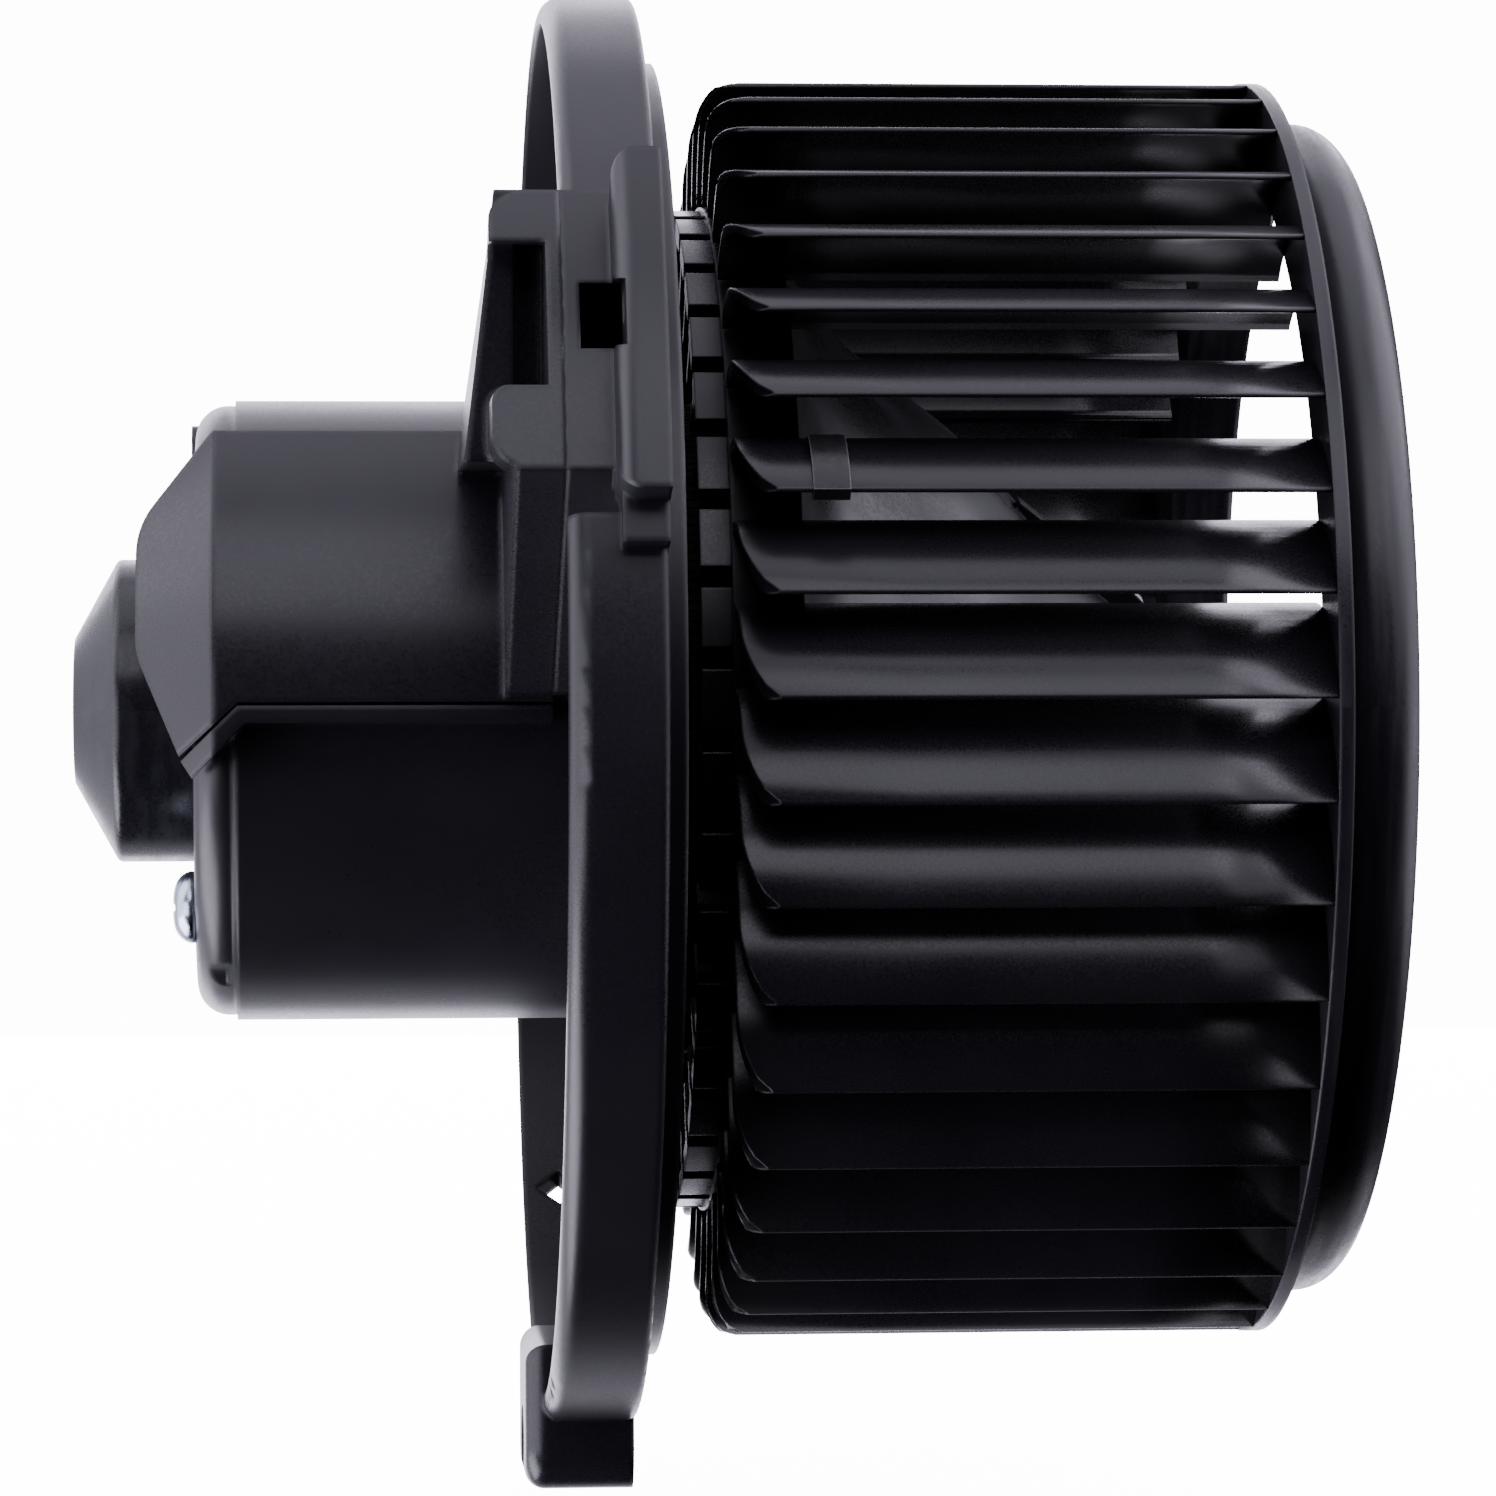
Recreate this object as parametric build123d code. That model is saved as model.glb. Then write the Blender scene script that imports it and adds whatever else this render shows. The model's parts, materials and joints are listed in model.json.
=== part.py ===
from build123d import *
import os
from math import cos, pi, radians, sin

# Blower motor with its squirrel-cage wheel, in millimetres.
# The shaft lies on the X axis and the wheel points to +X. The origin is on the shaft axis, in the
# plane of the flange that seats on the blower housing. Angles are taken about +X from +Y to +Z.

# Mounting flange
RIM_RADIUS = 84.7
RIM_DEPTH = 10.7
RIM_WALL = 3.0
PLATE_THICK = 2.5
PILOT_RADIUS = 77.0
PILOT_HEIGHT = 2.4
PILOT_WALL = 1.8
EAR_PITCH_RADIUS = 87.5
EAR_REACH = 92.6
EAR_HOLE_RADIUS = 2.6
EAR_REAR = -12.8
EAR_HALF_WIDTH = 11.0
PLATE_EAR_REAR = -5.5
PLATE_EAR_ANGLES = (138.9, 165.4)

# Motor cup, moulded in one with the flange
CUP_RADIUS = 36.9
CUP_WALL = 2.5
CUP_REAR = -51.3
CUP_STEP = 0.6
CUP_STEP_X = -46.6
CUP_REAR_HOLE = 17.0

# Cooling duct: a half moulded on the flange, and a separate cover
DUCT_ANGLES = (138.4, 162.6)
DUCT_WALL = 2.2
DUCT_SPLIT_X = -10.8
DUCT_REACH = 85.3
DUCT_INNER_RADIUS = 60.0
WINDOW = ((-9.0, -90, 38.6), (-4.4, -60, 45.9))
COVER_RADIUS = 45.0
COVER_WALL = 2.0
COVER_REAR = -58.5
COVER_CHAMFER = 9.6
COVER_TOP = 31.9
COVER_FLOOR = 0.9
COVER_TIP = (-52.7, -5.2)
RISER_LEFT = -18.6
RIB_LEFT = -16.2
KNOB_HEIGHTS = (25.7, 34.6)
POCKET_TOP = 50.6
POCKET_FRONT = -12.5
POCKET_FLOOR = -64.0
POCKET_DEEP = -61.0

# Rear cap over the bearing
CAP_RADIUS = 18.0
CAP_SHOULDER = -60.6
CAP_END = -65.8
CAP_END_RADIUS = 8.6
CAP_WALL = 1.8

# Motor
CAN_RADIUS = 33.0
CAN_WALL = 1.6
CAN_REAR = -46.0
CAN_FRONT = 12.0
SHAFT_RADIUS = 4.0
SHAFT_REAR = -57.0
SHAFT_FRONT = 60.6
BEARING_RADIUS = 8.0
BEARING_LENGTH = 9.0
RUNNING_GAP = 0.03
CORE_RADIUS = 22.0
CORE_REAR = -26.0
CORE_FRONT = 2.0
SLOT_COUNT = 12
WINDING_DEPTH = 7.0
COMMUTATOR_RADIUS = 9.0
COMMUTATOR_REAR = -43.0
COMMUTATOR_LENGTH = 9.0
CARD_REAR = CAN_REAR
CARD_THICK = 1.6
BRUSH_HALF = 2.6
BRUSH_END = 20.0
BRUSH_X = COMMUTATOR_REAR + COMMUTATOR_LENGTH / 2
SPRING_WIRE = 0.3
SPRING_RADIUS = 1.7
SPRING_LENGTH = 7.8

# Screws
REAR_SCREW_RADIUS = 1.6
REAR_SCREW_PITCH = 29.0
REAR_SCREW_ANGLES = (52.0, 232.0)
REAR_HEAD_RADIUS = 4.2
REAR_HEAD_HEIGHT = 2.6
FRONT_SCREW_RADIUS = 1.1
FRONT_SCREW_PITCH = 41.5
FRONT_SCREW_TIP = 10.0
FRONT_HEAD_RADIUS = 2.6
FRONT_SCREW_ANGLES = (22.0, 262.0)

# Wheel
WHEEL_RADIUS = 75.0
BLADE_COUNT = 41
BLADE_REAR = 8.5
BLADE_FRONT = 73.1
BLADE_THICK = 1.1
BLADE_CURVE = 16.0
BLADE_TIP_LEAN = 68.0
BLADE_CORNER = 5.0
BLADE_PHASE = 179.0
TOOTH_REAR = 5.0
TOOTH_SPAN = 6.4
STOP_HEIGHT = 4.4
BLADE_RISE = BLADE_CURVE * (1 - cos(radians(BLADE_TIP_LEAN)))
CLIP_BLADE = 2
CLIP_X = 16.3
CLIP_WIDTH = 4.1
CLIP_REACH = 8.0
CLIP_SHEET = 1.0
HUB_RING_RADIUS = 60.0
HUB_RING_WALL = 1.8
HUB_BASE_X = 16.4
HUB_NOSE_X = 61.6
HUB_NOSE_RADIUS = 11.0
HUB_BORE = 5.2
NOSE_RIB_COUNT = 8
BAND_FRONT = 74.8
LIP_RADIUS = 70.2
LIP_WALL = 3.4
LIP_FRONT = 83.2

os.makedirs("parts", exist_ok=True)


def turned(points, rounds=()):
    """A solid of revolution about X from (x, radius) points, with some corners rounded."""
    face = make_face(Polyline(*points, close=True))
    for corner, radius in rounds:
        nearest = face.vertices().sort_by_distance((corner[0], corner[1], 0))[0]
        face = fillet(nearest, radius)
    return revolve(face, Axis.X)


def sector(x_low, x_high, inner, outer, start, end):
    """A block between two radii and two angles about X."""
    outline = Polyline((x_low, inner), (x_high, inner), (x_high, outer), (x_low, outer), close=True)
    return Rot(start, 0, 0) * revolve(make_face(outline), Axis.X, revolution_arc=end - start)


def ring(x_low, x_high, inner, outer):
    """A plain ring about X."""
    return turned([(x_low, inner), (x_high, inner), (x_high, outer), (x_low, outer)])


def rod(x_low, x_high, radius, pitch_radius=0.0, angle=0.0):
    """A round bar along X, at an angle on a pitch circle."""
    bar = Pos((x_low + x_high) / 2, 0, 0) * Rot(0, 90, 0) * Cylinder(radius, x_high - x_low)
    return Rot(angle, 0, 0) * Pos(0, pitch_radius, 0) * bar


def block(low, high):
    """A box between two corners."""
    size = [b - a for a, b in zip(low, high)]
    centre = [(a + b) / 2 for a, b in zip(low, high)]
    return Pos(*centre) * Box(*size)


def save(shape, name):
    """Write one node, as one solid or a group of solids."""
    solids = shape.solids()
    result = solids[0] if len(solids) == 1 else Compound(children=list(solids))
    result.label = name
    export_step(result, f"parts/{name}.step")


# ---------------------------------------------------------------- flange and motor cup


def ear():
    """The thick screw lug at the bottom of the rim."""
    body = block((EAR_REAR, -EAR_HALF_WIDTH, -EAR_REACH), (0, EAR_HALF_WIDTH, -75))
    body = fillet(body.edges().filter_by(Axis.X).sort_by(Axis.Z)[:2], 5)
    body = fillet(body.faces().sort_by(Axis.X)[0].edges(), 2.4)
    hole = rod(EAR_REAR - 1, 1, EAR_HOLE_RADIUS, EAR_PITCH_RADIUS, 270)
    recess = rod(EAR_REAR - 1, EAR_REAR + 2, EAR_HOLE_RADIUS + 1.6, EAR_PITCH_RADIUS, 270)
    return body - hole - recess


def duct_plate():
    """The rounded ear beside the duct, with its own screw hole and a small lug under it."""
    start, end = PLATE_EAR_ANGLES
    body = sector(PLATE_EAR_REAR, 0, 80, EAR_REACH, start, end)
    body = fillet(body.faces().sort_by(Axis.X)[0].edges(), 2.6)
    body += sector(PLATE_EAR_REAR + 0.5, 0, 80, EAR_REACH - 5, end - 2, end + 2.9)
    return body - rod(PLATE_EAR_REAR - 1, 1, EAR_HOLE_RADIUS, EAR_PITCH_RADIUS, 150)


def cover_ledge():
    """Ledge on the cup that follows the lower edge of the duct cover, a small gap below it."""
    tip_x, tip_z = COVER_TIP
    outline = Polyline(
        (DUCT_SPLIT_X, 0.55),
        (-46.1, 0.55),
        (tip_x + 0.2, tip_z - 0.5),
        (tip_x + 1.5, tip_z - 2.5),
        (-45.4, -1.4),
        (DUCT_SPLIT_X, -1.4),
        close=True,
    )
    slab = Plane.XZ * extrude(make_face(outline), COVER_RADIUS + 5)
    return (cover_shell(0) & slab) - rod(COVER_REAR - 1, 0, CUP_RADIUS - 1)


def flange_housing():
    """The moulding that carries everything: rim, plate, pilot lip, motor cup, ears, half duct."""
    inner = CUP_RADIUS - CUP_WALL
    rim_inner = RIM_RADIUS - RIM_WALL
    outline = [
        (CUP_REAR, CUP_REAR_HOLE),
        (CUP_REAR, CUP_RADIUS - CUP_STEP),
        (CUP_STEP_X, CUP_RADIUS - CUP_STEP),
        (CUP_STEP_X, CUP_RADIUS),
        (-PLATE_THICK, CUP_RADIUS),
        (-PLATE_THICK, rim_inner),
        (-RIM_DEPTH, rim_inner),
        (-RIM_DEPTH, RIM_RADIUS),
        (0, RIM_RADIUS),
        (0, PILOT_RADIUS),
        (PILOT_HEIGHT, PILOT_RADIUS),
        (PILOT_HEIGHT, PILOT_RADIUS - PILOT_WALL),
        (0, PILOT_RADIUS - PILOT_WALL),
        (0, inner),
        (CUP_REAR + CUP_WALL, inner),
        (CUP_REAR + CUP_WALL, CUP_REAR_HOLE),
    ]
    rounds = [
        (outline[1], 3.8),
        (outline[4], 1.5),
        (outline[7], 2.4),
        (outline[8], 0.8),
    ]
    body = turned(outline, rounds)
    low_angle, high_angle = DUCT_ANGLES
    body -= sector(-RIM_DEPTH - 1, -5.0, 70, RIM_RADIUS + 1, high_angle, high_angle + 3.1)
    body += Pos(DUCT_SPLIT_X, 0, 0) * extrude(riser_face(0), -DUCT_SPLIT_X)
    body += duct_plate()
    for angle in (0.0, 120.0):
        body += Rot(angle, 0, 0) * ear()
    body += cover_ledge()
    # Hollow of the half duct, the air passage through the flange, and the snap window
    hollow = Pos(DUCT_SPLIT_X - 1, 0, 0) * extrude(riser_face(DUCT_WALL), 1 - DUCT_SPLIT_X - PLATE_THICK)
    body -= hollow - rod(-60, 0, CUP_RADIUS)
    passage_reach = RIM_RADIUS - 10.5
    body -= sector(-PLATE_THICK - 1, 3, DUCT_INNER_RADIUS, passage_reach, low_angle + 3, high_angle - 3)
    body -= block(*WINDOW)
    # Air entry into the rear of the cup, under the duct cover
    body -= block((-47.5, -40, 5), (-33, -25, 24))
    # Scallop and lug on the cup's rear edge, drain slot in the skirt, and a stop lug on the wheel side
    body -= rod(CUP_REAR - 1, CUP_STEP_X - 0.8, 6.0, CUP_RADIUS + 4.7, 238)
    body += rod(CUP_REAR - 0.7, CUP_REAR + 2, 2.3, CUP_RADIUS - 4.2, 78)
    body -= Rot(311, 0, 0) * Pos(-6.0, RIM_RADIUS, 0) * Rot(0, 45, 0) * Box(4.2, 8, 4.2)
    body += sector(-0.5, STOP_HEIGHT, 54, 61, 266, 274)
    # Holes for the rear screws and the front screws
    for angle in REAR_SCREW_ANGLES:
        body -= rod(CUP_REAR - 1, CUP_REAR + CUP_WALL + 1, REAR_SCREW_RADIUS, REAR_SCREW_PITCH, angle)
    for angle in FRONT_SCREW_ANGLES:
        body -= rod(-PLATE_THICK - 1, 1, FRONT_SCREW_RADIUS, FRONT_SCREW_PITCH, angle)
    return body


def rear_screws():
    """Pan-head screws through the cup floor into the motor's end plate."""
    top = CUP_REAR - REAR_HEAD_HEIGHT
    outline = [
        (top, 0),
        (top, REAR_HEAD_RADIUS - 1.2),
        (CUP_REAR, REAR_HEAD_RADIUS),
        (CUP_REAR, REAR_SCREW_RADIUS),
        (CAN_REAR, REAR_SCREW_RADIUS),
        (CAN_REAR, 0),
    ]
    head = turned(outline, [(outline[1], 1.8)])
    floor = top + 1.4
    head -= block((top - 1, -0.5, -2.0), (floor, 0.5, 2.0))
    head -= block((top - 1, -2.0, -0.5), (floor, 2.0, 0.5))
    placed = [Rot(angle, 0, 0) * Pos(0, REAR_SCREW_PITCH, 0) * head for angle in REAR_SCREW_ANGLES]
    return Compound(children=[p.solids()[0] for p in placed])


def front_screws():
    """Screws through the flange plate that hold the isolator ring; their tips show."""
    seat = -PLATE_THICK
    top = seat - 1.8
    outline = [
        (top, 0),
        (top, FRONT_HEAD_RADIUS - 0.2),
        (seat, FRONT_HEAD_RADIUS),
        (seat, FRONT_SCREW_RADIUS),
        (FRONT_SCREW_TIP, FRONT_SCREW_RADIUS),
        (FRONT_SCREW_TIP, 0),
    ]
    screw = turned(outline, [(outline[1], 0.8), (outline[4], 0.5)])
    placed = [Rot(angle, 0, 0) * Pos(0, FRONT_SCREW_PITCH, 0) * screw for angle in FRONT_SCREW_ANGLES]
    return Compound(children=[p.solids()[0] for p in placed])


# ---------------------------------------------------------------- duct cover


def cover_shell(grow):
    """The cover's round outside with its rear chamfer, as a full turn, shrunk by a wall for its inside."""
    rear = COVER_REAR + grow
    body = ring(rear, DUCT_SPLIT_X, 1.0, COVER_RADIUS - grow)
    return chamfer(body.faces().sort_by(Axis.X)[0].edges().sort_by(SortBy.LENGTH)[-1], COVER_CHAMFER)


def cover_side(grow):
    """Outline of the cover seen from the side: flat top, swept rear edge and a tip that hangs lower."""
    tip_x, tip_z = COVER_TIP
    rear = COVER_REAR + 0.8 + grow
    corners = [
        (DUCT_SPLIT_X, COVER_TOP - grow),
        (-49.0 + grow, COVER_TOP - grow),
        (rear, 21.0),
        (rear, 6.5),
        (tip_x + 1.4 * grow, tip_z + 1.4 * grow),
        (-46.0, COVER_FLOOR + grow),
        (DUCT_SPLIT_X, COVER_FLOOR + grow),
    ]
    face = make_face(Polyline(*corners, close=True))
    for corner in corners[2:4]:
        face = fillet(face.vertices().sort_by_distance((corner[0], corner[1], 0))[0], 9.0)
    return face


def panel_block(grow):
    """The part of the cover that wraps the motor, shrunk by a wall for its inside."""
    side = Pos(0, -12 - grow, 0) * (Plane.XZ * extrude(cover_side(grow), 50))
    return cover_shell(grow) & side


def riser_face(grow):
    """Outline of the riser in the plane square to the shaft."""
    start, end = (radians(a) for a in DUCT_ANGLES)
    radius = DUCT_REACH - grow
    middle = (start + end) / 2
    tilt = grow / radius
    high = (radius * cos(start + tilt), radius * sin(start + tilt))
    mid = (radius * cos(middle), radius * sin(middle))
    low = (radius * cos(end - tilt), radius * sin(end - tilt))
    foot_low = (-41.5, COVER_FLOOR + grow)
    foot_high = (-26.0, COVER_TOP - grow)
    arc = ThreePointArc(low, mid, high)
    sides = Polyline(high, foot_high, foot_low, (-46.8, 2.0 + grow), low)
    return Plane.YZ * make_face([arc] + list(sides.edges()))


def riser_slab(left, right, low, high):
    """The stretch of the riser between two places on the shaft and two heights."""
    slab = Pos(left, 0, 0) * extrude(riser_face(0), right - left)
    return slab & block((left - 1, -100, low), (right + 1, 0, high))


def pocket(grow):
    """Recess in the riser's outer side between its ear and its knob, deeper beside the parting line."""
    low = KNOB_HEIGHTS[1] - grow
    high = POCKET_TOP + grow
    front = POCKET_FRONT + grow
    shallow = block((RISER_LEFT - 5, -90, low), (front, POCKET_FLOOR + grow, high))
    return shallow + block((-15.8 - grow, POCKET_FLOOR - 1, low), (front, POCKET_DEEP + grow, high))


def riser_wall():
    """Left wall behind the pocket, wider towards the panel, set back from the riser's outer side."""
    side = Polyline((-17.9, 57.0), (-18.4, 50.6), (-21.2, 27.0), (-14.0, 27.0), (-14.0, 57.0), close=True)
    wall = Plane.XZ * extrude(make_face(side), 100)
    inner_side = Pos(-24, 0, 0) * extrude(riser_face(0), 12)
    return wall & inner_side & block((-30, POCKET_FLOOR, 20), (0, 0, 60))


def flare():
    """Concave sweep that leads from the curved panel up into the riser's rib."""
    low = (RISER_LEFT - 4.8, COVER_RADIUS - 0.6)
    high = (RIB_LEFT + 0.1, COVER_RADIUS + 17)
    middle = (RISER_LEFT - 1.2, COVER_RADIUS + 3.4)
    corner = (RIB_LEFT + 0.1, COVER_RADIUS - 0.6)
    curve = ThreePointArc(low, middle, high)
    side = make_face(curve.edges() + Polyline(high, corner, low).edges())
    body = Rot(DUCT_ANGLES[0] - 3, 0, 0) * revolve(side, Axis.X, revolution_arc=44)
    return body & Pos(RISER_LEFT - 6, 0, 0) * extrude(riser_face(0), 12)


def duct_cover():
    """The separate cooling-air cover: panel, riser, ear and knob, open towards motor and flange."""
    knob_low, knob_high = KNOB_HEIGHTS
    ear_top = riser_slab(RISER_LEFT, DUCT_SPLIT_X, knob_high + 5, 90)
    left_edges = ear_top.faces().sort_by(Axis.X)[0].edges()
    ear_top = fillet(left_edges.filter_by(GeomType.LINE).sort_by(Axis.Z)[-1], 4.5)
    knob = riser_slab(RISER_LEFT, DUCT_SPLIT_X, knob_low, knob_high)
    knob &= block((RISER_LEFT - 1, -100, knob_low), (0, POCKET_FLOOR, knob_high))
    left_edges = knob.faces().sort_by(Axis.X)[0].edges().filter_by(Axis.Y)
    knob = fillet(left_edges.sort_by(Axis.Z)[-1], 1.8)
    knob = fillet(knob.faces().sort_by(Axis.X)[0].edges().filter_by(Axis.Y).sort_by(Axis.Z)[0], 3.2)
    rib = riser_slab(RIB_LEFT, DUCT_SPLIT_X, 0, knob_high + 6)
    outside = panel_block(0) + rib + flare() + riser_wall() + (ear_top - pocket(0)) + knob - pocket(0)
    inside = panel_block(COVER_WALL)
    hollow = Pos(RIB_LEFT + COVER_WALL, 0, 0) * extrude(riser_face(DUCT_WALL), 12)
    inside += hollow - pocket(DUCT_WALL)
    body = outside - inside
    body -= rod(CUP_REAR, 0, CUP_RADIUS)
    body -= rod(CAP_END, CUP_REAR, CAP_RADIUS)
    return body


# ---------------------------------------------------------------- rear cap and motor shell


def rear_cap():
    """Plastic dome that covers the rear bearing."""
    outline = [
        (CAP_END, 0),
        (CAP_END, CAP_END_RADIUS),
        (CAP_SHOULDER, CAP_RADIUS),
        (CUP_REAR, CAP_RADIUS),
        (CUP_REAR, CAP_RADIUS - CAP_WALL),
        (CAP_SHOULDER + 0.6, CAP_RADIUS - CAP_WALL),
        (CAP_END + CAP_WALL, CAP_END_RADIUS - 0.8),
        (CAP_END + CAP_WALL, 0),
    ]
    return turned(outline, [(outline[1], 0.8), (outline[2], 0.9)])


def motor_can():
    """Drawn steel can, open at the rear, with a bearing pocket in its front face."""
    inner = CAN_RADIUS - CAN_WALL
    pocket = BEARING_RADIUS + CAN_WALL
    pocket_front = CAN_FRONT + 6.0
    outline = [
        (CAN_REAR, CAN_RADIUS),
        (CAN_FRONT, CAN_RADIUS),
        (CAN_FRONT, pocket),
        (pocket_front, pocket),
        (pocket_front, SHAFT_RADIUS + 1.2),
        (pocket_front - CAN_WALL, SHAFT_RADIUS + 1.2),
        (pocket_front - CAN_WALL, BEARING_RADIUS),
        (CAN_FRONT - CAN_WALL, BEARING_RADIUS),
        (CAN_FRONT - CAN_WALL, inner),
        (CAN_REAR, inner),
    ]
    return turned(outline, [(outline[1], 2.2), (outline[3], 1.2)])


def end_plate():
    """Plate that closes the rear of the can and holds the rear bearing."""
    front = CAN_REAR
    rear = CAN_REAR - 2.4
    boss_rear = SHAFT_REAR - 2.0
    pocket = BEARING_RADIUS
    outline = [
        (front, CAN_RADIUS),
        (rear, CAN_RADIUS),
        (rear, pocket + 2.4),
        (boss_rear, pocket + 2.4),
        (boss_rear, 0),
        (boss_rear + 1.4, 0),
        (boss_rear + 1.4, pocket),
        (front, pocket),
    ]
    plate = turned(outline, [(outline[3], 1.5)])
    for angle in REAR_SCREW_ANGLES:
        plate -= rod(rear - 1, front + 1, REAR_SCREW_RADIUS, REAR_SCREW_PITCH, angle)
    return plate


def bearing(x_low, x_high):
    """Sintered bush with chamfered ends and a running bore."""
    bore = SHAFT_RADIUS + RUNNING_GAP
    outline = [(x_low, bore), (x_high, bore), (x_high, BEARING_RADIUS), (x_low, BEARING_RADIUS)]
    body = turned(outline)
    circles = body.edges().filter_by(GeomType.CIRCLE)
    return chamfer(circles.filter_by(lambda e: e.radius > BEARING_RADIUS - 0.1), 0.6)


def isolator():
    """Ribbed rubber ring that grips the can on the wheel side of the flange."""
    outer = CUP_RADIUS - 0.3
    body = ring(0, 10.0, CAN_RADIUS, outer)
    circles = body.edges().filter_by(GeomType.CIRCLE)
    body = fillet(circles.filter_by(lambda e: e.radius > outer - 0.1).sort_by(Axis.X)[-1], 0.8)
    body += ring(-6.0, 0, CAN_RADIUS, CUP_RADIUS - CUP_WALL)
    groove = rod(0.6, 11, 0.28, outer + 0.08, 0)
    count = round(2 * pi * outer / 1.25)
    grooves = [Rot(360 * i / count, 0, 0) * groove for i in range(count)]
    return body - Compound(children=[g.solids()[0] for g in grooves])


def magnets():
    """Four ferrite arcs inside the can."""
    outer = CAN_RADIUS - CAN_WALL
    low = CORE_REAR - 3
    high = CORE_FRONT + 3
    arcs = [sector(low, high, outer - 7.2, outer, 90 * i + 12, 90 * i + 78) for i in range(4)]
    return Compound(children=[a.solids()[0] for a in arcs])


def magnet_springs():
    """Spring-steel wedges between the magnets."""
    outer = CAN_RADIUS - CAN_WALL
    low = CORE_REAR - 1
    high = CORE_FRONT + 1
    wedges = []
    for i in range(4):
        middle = 90 * i
        wedge = sector(low, high, outer - 1.0, outer, middle - 11.9, middle + 11.9)
        wedge += sector(low, high, outer - 6.0, outer, middle - 11.9, middle - 9.6)
        wedge += sector(low, high, outer - 6.0, outer, middle + 9.6, middle + 11.9)
        wedges.append(wedge)
    return Compound(children=[w.solids()[0] for w in wedges])


# ---------------------------------------------------------------- brush gear

def brush_card():
    """Moulded disc that carries the brush boxes inside the can's rear."""
    return ring(CARD_REAR, CARD_REAR + CARD_THICK, BEARING_RADIUS + 4.0, CAN_RADIUS - CAN_WALL)


def brush_boxes():
    """Folded brass guides, one each side of the commutator."""
    half = BRUSH_HALF + 0.1
    wall = 0.6
    front = BRUSH_X + half + wall
    body = block((CARD_REAR + CARD_THICK, -half - wall, 11), (front, half + wall, 28.5))
    body -= block((BRUSH_X - half, -half, 10), (BRUSH_X + half, half, 28.5 - wall))
    return Compound(children=[(Rot(a, 0, 0) * body).solids()[0] for a in (0, 180)])


def brush(turn):
    """One carbon brush, with its end hollowed to the commutator."""
    contact = COMMUTATOR_RADIUS + RUNNING_GAP
    body = block((BRUSH_X - BRUSH_HALF, -BRUSH_HALF, 7), (BRUSH_X + BRUSH_HALF, BRUSH_HALF, BRUSH_END))
    body -= ring(BRUSH_X - 6, BRUSH_X + 6, 0.5, contact)
    return Rot(turn, 0, 0) * body.solids().sort_by(Axis.Z)[-1]


def brush_spring(turn):
    """The coil spring behind one brush."""
    height = SPRING_LENGTH - 2 * SPRING_WIRE
    helix = Helix(pitch=height / 5, height=height, radius=SPRING_RADIUS)
    section = Plane(origin=helix @ 0, z_dir=helix % 0) * Circle(SPRING_WIRE)
    return Rot(turn, 0, 0) * Pos(BRUSH_X, 0, BRUSH_END + 0.05 + SPRING_WIRE) * sweep(section, path=helix)


def choke():
    """Interference choke: a ferrite rod with its winding, beside the brushes."""
    turn_radius = 2.3
    wire = 0.45
    x = CARD_REAR + CARD_THICK + turn_radius + wire
    core = Pos(x, 24.5, 0) * Cylinder(2.0, 12)
    for i in range(6):
        core += Pos(x, 24.5, -4.4 + 1.75 * i) * Torus(turn_radius, wire)
    return core


def connector_socket():
    """Two-way inlet on the far side of the cup, where the lead plugs in."""
    shell = block((-44, 26.0, -20), (-26, 50, -8))
    shell = fillet(shell.edges().filter_by(Axis.Y), 1.6)
    shell -= block((-42.2, 38.5, -18.2), (-27.8, 51, -9.8))
    shell -= rod(-60, 0, CUP_RADIUS)
    shell += block((-37, 40, -8.2), (-33, 46, -6.6))
    return shell - terminals()


def terminals():
    """Tinned blades in the inlet."""
    blades = [block((x - 0.4, 36.9, -17), (x + 0.4, 47, -11)) for x in (-38.5, -31.5)]
    return Compound(children=[b.solids()[0] for b in blades])


# ---------------------------------------------------------------- rotor inside the motor


def shaft():
    """Ground steel shaft with a flat where the hub sits and chamfered ends."""
    body = rod(SHAFT_REAR, SHAFT_FRONT, SHAFT_RADIUS)
    body = chamfer(body.edges().filter_by(GeomType.CIRCLE), 0.5)
    return body - block((42, 3.2, -6), (SHAFT_FRONT + 1, 6, 6))


def armature_core():
    """Stacked laminations with open winding slots."""
    core = ring(CORE_REAR, CORE_FRONT, SHAFT_RADIUS, CORE_RADIUS)
    slot = block((CORE_REAR - 1, CORE_RADIUS - 1.6, -1.0), (CORE_FRONT + 1, CORE_RADIUS + 1, 1.0))
    slot += rod(CORE_REAR - 1, CORE_FRONT + 1, 2.6, CORE_RADIUS - 4.0)
    slot += rod(CORE_REAR - 1, CORE_FRONT + 1, 1.7, CORE_RADIUS - 8.0)
    for i in range(SLOT_COUNT):
        core -= Rot(360 * i / SLOT_COUNT, 0, 0) * slot
    return core


def windings():
    """Enamelled copper coils: two end bundles and the wires in the slots."""
    step = 360 / SLOT_COUNT
    bundle = []
    for seat, end in ((CORE_FRONT, CORE_FRONT + WINDING_DEPTH), (CORE_REAR, CORE_REAR - WINDING_DEPTH)):
        outline = [(seat, 8), (end, 9), (end, 17), (seat, 20)]
        bundle.append(turned(outline, [(outline[1], 2.4), (outline[2], 3.0)]))
    body = bundle[0] + bundle[1]
    for i in range(SLOT_COUNT):
        body += rod(CORE_REAR - 1, CORE_FRONT + 1, 2.5, CORE_RADIUS - 4.0, step * i)
    return body


def commutator_core():
    """Moulded insulator between the copper bars and the shaft."""
    return ring(COMMUTATOR_REAR, COMMUTATOR_REAR + COMMUTATOR_LENGTH, SHAFT_RADIUS, COMMUTATOR_RADIUS - 2.0)


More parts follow.
